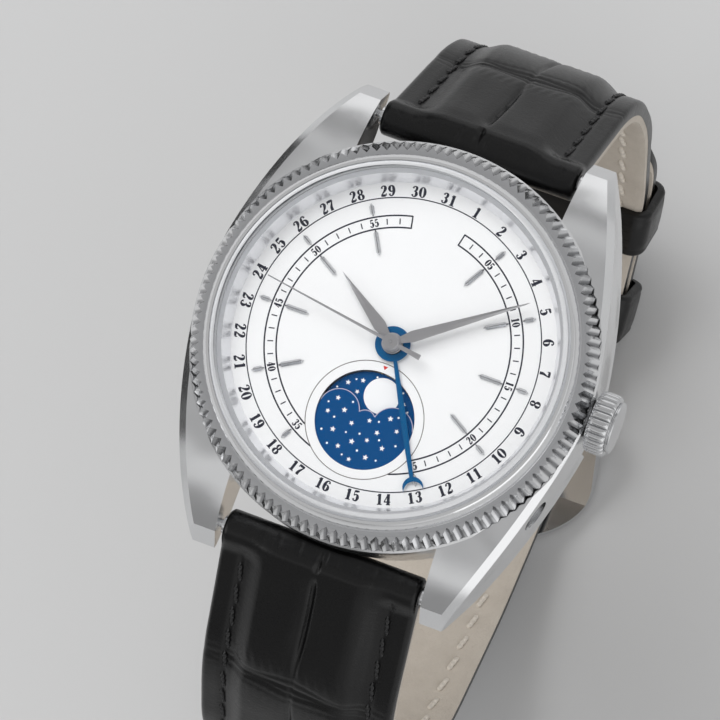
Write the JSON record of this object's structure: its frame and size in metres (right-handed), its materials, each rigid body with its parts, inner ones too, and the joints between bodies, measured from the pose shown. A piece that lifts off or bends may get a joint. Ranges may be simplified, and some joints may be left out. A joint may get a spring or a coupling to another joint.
{
  "type": "moon phase wristwatch",
  "caption": "Round moon phase wristwatch: fluted bezel, centre hands with a date hand, moon window at 6, crown, corrector, and a closed leather strap with a tang buckle and keepers.",
  "frame": {"origin": "centre of the case back's flat outer face", "axes": "+Z out of the dial, +Y to 12 o'clock, +X to 3 o'clock and the crown"},
  "size_m": [0.0428, 0.0759, 0.0694],
  "materials": {
    "polished_steel": "mirror polished steel",
    "plain_steel": "fine brushed steel",
    "crystal": "clear sapphire",
    "seal_rubber": "black seal",
    "flange_silver": "polished silver flange",
    "dial_white": "silvery white dial with a fine satin sheen",
    "hand_silver": "lengthwise brushed hands and batons",
    "moon_blue": "deep blue lacquer with white stars",
    "date_blue": "blue lacquer",
    "train_brass": "gilt brass wheels",
    "movement_plate": "plated plates and bridges",
    "rotor_metal": "heavy plated rotor",
    "jewel_red": "clear red stone",
    "black_leather": "glossy black grained leather",
    "lining_leather": "pale matt lining leather"
  },
  "bodies": {
    "head": {"mid_case": "polished_steel", "bezel": "polished_steel", "crystal": "crystal", "crystal_gasket": "seal_rubber", "rehaut": "flange_silver", "case_back": "polished_steel", "back_crystal": "crystal", "case_back_gasket": "seal_rubber", "crown_tube": "plain_steel", "corrector_spring": "plain_steel", "spring_bars": "plain_steel", "dial": "dial_white", "hour_markers": "hand_silver", "moon_cover": "moon_blue", "main_plate": "movement_plate", "train_bridge": "movement_plate", "balance_cock": "movement_plate", "jewels": "jewel_red", "bridge_screws": "plain_steel", "movement_holder": "movement_plate", "hairspring": "date_blue", "click": "plain_steel", "rotor_bearing": "plain_steel", "strap_upper_leather": "black_leather", "strap_upper_lining": "lining_leather", "strap_lower_leather": "black_leather", "strap_lower_lining": "lining_leather", "fixed_keeper": "black_leather"},
    "minute": {"cannon_pinion": "plain_steel", "minute_hand": "hand_silver"},
    "hour": {"hour_wheel": "train_brass", "hour_hand": "hand_silver"},
    "minute_work": {"minute_wheel": "train_brass"},
    "calendar": {"calendar_wheel": "train_brass"},
    "date": {"date_wheel": "plain_steel", "date_hand": "date_blue"},
    "moon": {"moon_disc": "moon_blue"},
    "second": {"fourth_wheel": "train_brass", "second_hand": "hand_silver"},
    "third": {"third_wheel": "train_brass"},
    "centre": {"centre_wheel": "train_brass"},
    "drum": {"barrel": "train_brass", "mainspring": "plain_steel"},
    "escape": {"escape_wheel": "plain_steel"},
    "lever": {"pallet_fork": "plain_steel"},
    "balance": {"balance_wheel": "train_brass"},
    "ratchet": {"ratchet_wheel": "plain_steel"},
    "crown_gear": {"crown_wheel": "plain_steel"},
    "pinion": {"winding_pinion": "plain_steel"},
    "crown_slider": {"crown_gasket": "seal_rubber"},
    "crown_group": {"crown": "polished_steel", "stem": "plain_steel"},
    "clutch": {"sliding_pinion": "plain_steel"},
    "setting": {"setting_lever": "plain_steel"},
    "winder": {"rotor": "rotor_metal"},
    "corrector": {"moon_corrector": "polished_steel"},
    "keeper": {"loose_keeper": "black_leather"},
    "buckle": {"buckle_frame": "polished_steel", "buckle_bar": "plain_steel"},
    "tang": {"buckle_tang": "polished_steel"}
  },
  "joints": [
    {"name": "minute_turn", "type": "hinge", "parent": "head", "child": "minute", "pos_m": [0, 0, 0.0102], "axis": [0, 0, -1], "continuous": true},
    {"name": "hour_turn", "type": "hinge", "parent": "head", "child": "hour", "pos_m": [0, 0, 0.0098], "axis": [0, 0, -1], "continuous": true},
    {"name": "minute_work_turn", "type": "hinge", "parent": "head", "child": "minute_work", "pos_m": [0.00168, 0.00291, 0.0074], "axis": [0, 0, -1], "continuous": true},
    {"name": "calendar_turn", "type": "hinge", "parent": "head", "child": "calendar", "pos_m": [-0.00806, 0, 0.0078], "axis": [0, 0, -1], "continuous": true},
    {"name": "date_turn", "type": "hinge", "parent": "head", "child": "date", "pos_m": [0, 0, 0.0093], "axis": [0, 0, -1], "continuous": true},
    {"name": "moon_turn", "type": "hinge", "parent": "head", "child": "moon", "pos_m": [0, -0.00773, 0.0082], "axis": [0, 0, -1], "continuous": true},
    {"name": "second_turn", "type": "hinge", "parent": "head", "child": "second", "pos_m": [0, 0, 0.0105], "axis": [0, 0, -1], "continuous": true},
    {"name": "third_turn", "type": "hinge", "parent": "head", "child": "third", "pos_m": [0.00451, -0.00164, 0.0045], "axis": [0, 0, -1], "continuous": true},
    {"name": "centre_turn", "type": "hinge", "parent": "head", "child": "centre", "pos_m": [0, 0, 0.0055], "axis": [0, 0, -1], "continuous": true},
    {"name": "drum_turn", "type": "hinge", "parent": "head", "child": "drum", "pos_m": [0.00124, 0.00703, 0.005], "axis": [0, 0, -1], "continuous": true},
    {"name": "escape_turn", "type": "hinge", "parent": "head", "child": "escape", "pos_m": [-0.00164, -0.00451, 0.0047], "axis": [0, 0, -1], "continuous": true},
    {"name": "lever_rock", "type": "hinge", "parent": "head", "child": "lever", "pos_m": [-0.00362, -0.0059, 0.0047], "axis": [0, 0, 1], "range_deg": [-5, 5]},
    {"name": "balance_swing", "type": "hinge", "parent": "head", "child": "balance", "pos_m": [-0.00629, -0.00776, 0.0044], "axis": [0, 0, 1], "range_deg": [-270, 270], "stiffness_Nm_per_rad": 0.0000006},
    {"name": "crown_pull", "type": "slide", "parent": "head", "child": "crown_slider", "axis": [1, 0, 0], "range_m": [0, 0.001]},
    {"name": "crown_turn", "type": "hinge", "parent": "crown_slider", "child": "crown_group", "pos_m": [0.022, 0, 0.006], "axis": [1, 0, 0], "continuous": true},
    {"name": "clutch_shift", "type": "slide", "parent": "crown_group", "child": "clutch", "axis": [1, 0, 0], "range_m": [-0.0016, 0]},
    {"name": "pinion_turn", "type": "hinge", "parent": "head", "child": "pinion", "pos_m": [0.0113, 0, 0.006], "axis": [1, 0, 0], "continuous": true},
    {"name": "crown_gear_turn", "type": "hinge", "parent": "head", "child": "crown_gear", "pos_m": [0.0096, 0.003, 0.0034], "axis": [0, 0, 1], "continuous": true},
    {"name": "ratchet_turn", "type": "hinge", "parent": "head", "child": "ratchet", "pos_m": [0.00124, 0.00703, 0.003], "axis": [0, 0, 1], "continuous": true},
    {"name": "setting_turn", "type": "hinge", "parent": "head", "child": "setting", "pos_m": [0.01285, 0.0023, 0.0066], "axis": [0, 0, 1], "range_deg": [0, 24.92]},
    {"name": "winder_turn", "type": "hinge", "parent": "head", "child": "winder", "pos_m": [0, 0, 0.0022], "axis": [0, 0, 1], "continuous": true},
    {"name": "corrector_push", "type": "slide", "parent": "head", "child": "corrector", "axis": [-0.866, 0.5, 0], "range_m": [0, 0.0008], "stiffness_N_per_m": 600, "deforming": ["corrector_spring"]},
    {"name": "keeper_slide", "type": "slide", "parent": "head", "child": "keeper", "axis": [0, -0.7539, -0.6569], "range_m": [0, 0.001]},
    {"name": "buckle_turn", "type": "hinge", "parent": "head", "child": "buckle", "pos_m": [0, 0.0045, -0.0522], "axis": [1, 0, 0], "range_deg": [0, 4]},
    {"name": "tang_turn", "type": "hinge", "parent": "buckle", "child": "tang", "pos_m": [0, 0.0045, -0.0522], "axis": [1, 0, 0], "range_deg": [0, 3]}
  ],
  "couplings": [
    {"joint": "hour_turn", "follows": "minute_turn", "ratio": 0.083333},
    {"joint": "minute_work_turn", "follows": "minute_turn", "ratio": -0.33333},
    {"joint": "calendar_turn", "follows": "minute_turn", "ratio": -0.041667},
    {"joint": "date_turn", "follows": "minute_turn", "ratio": 0.0013441},
    {"joint": "moon_turn", "follows": "minute_turn", "ratio": 0.00070621},
    {"joint": "third_turn", "follows": "second_turn", "ratio": -0.13333},
    {"joint": "centre_turn", "follows": "second_turn", "ratio": 0.016667},
    {"joint": "drum_turn", "follows": "second_turn", "ratio": -0.0027778},
    {"joint": "escape_turn", "follows": "second_turn", "ratio": -10},
    {"joint": "clutch_shift", "follows": "crown_pull", "ratio": -1.6},
    {"joint": "setting_turn", "follows": "crown_pull", "rad_per_m": 434.78},
    {"joint": "pinion_turn", "follows": "crown_turn", "ratio": 1},
    {"joint": "crown_gear_turn", "follows": "crown_turn", "ratio": 0.36842},
    {"joint": "ratchet_turn", "follows": "crown_turn", "ratio": -0.30435}
  ]
}
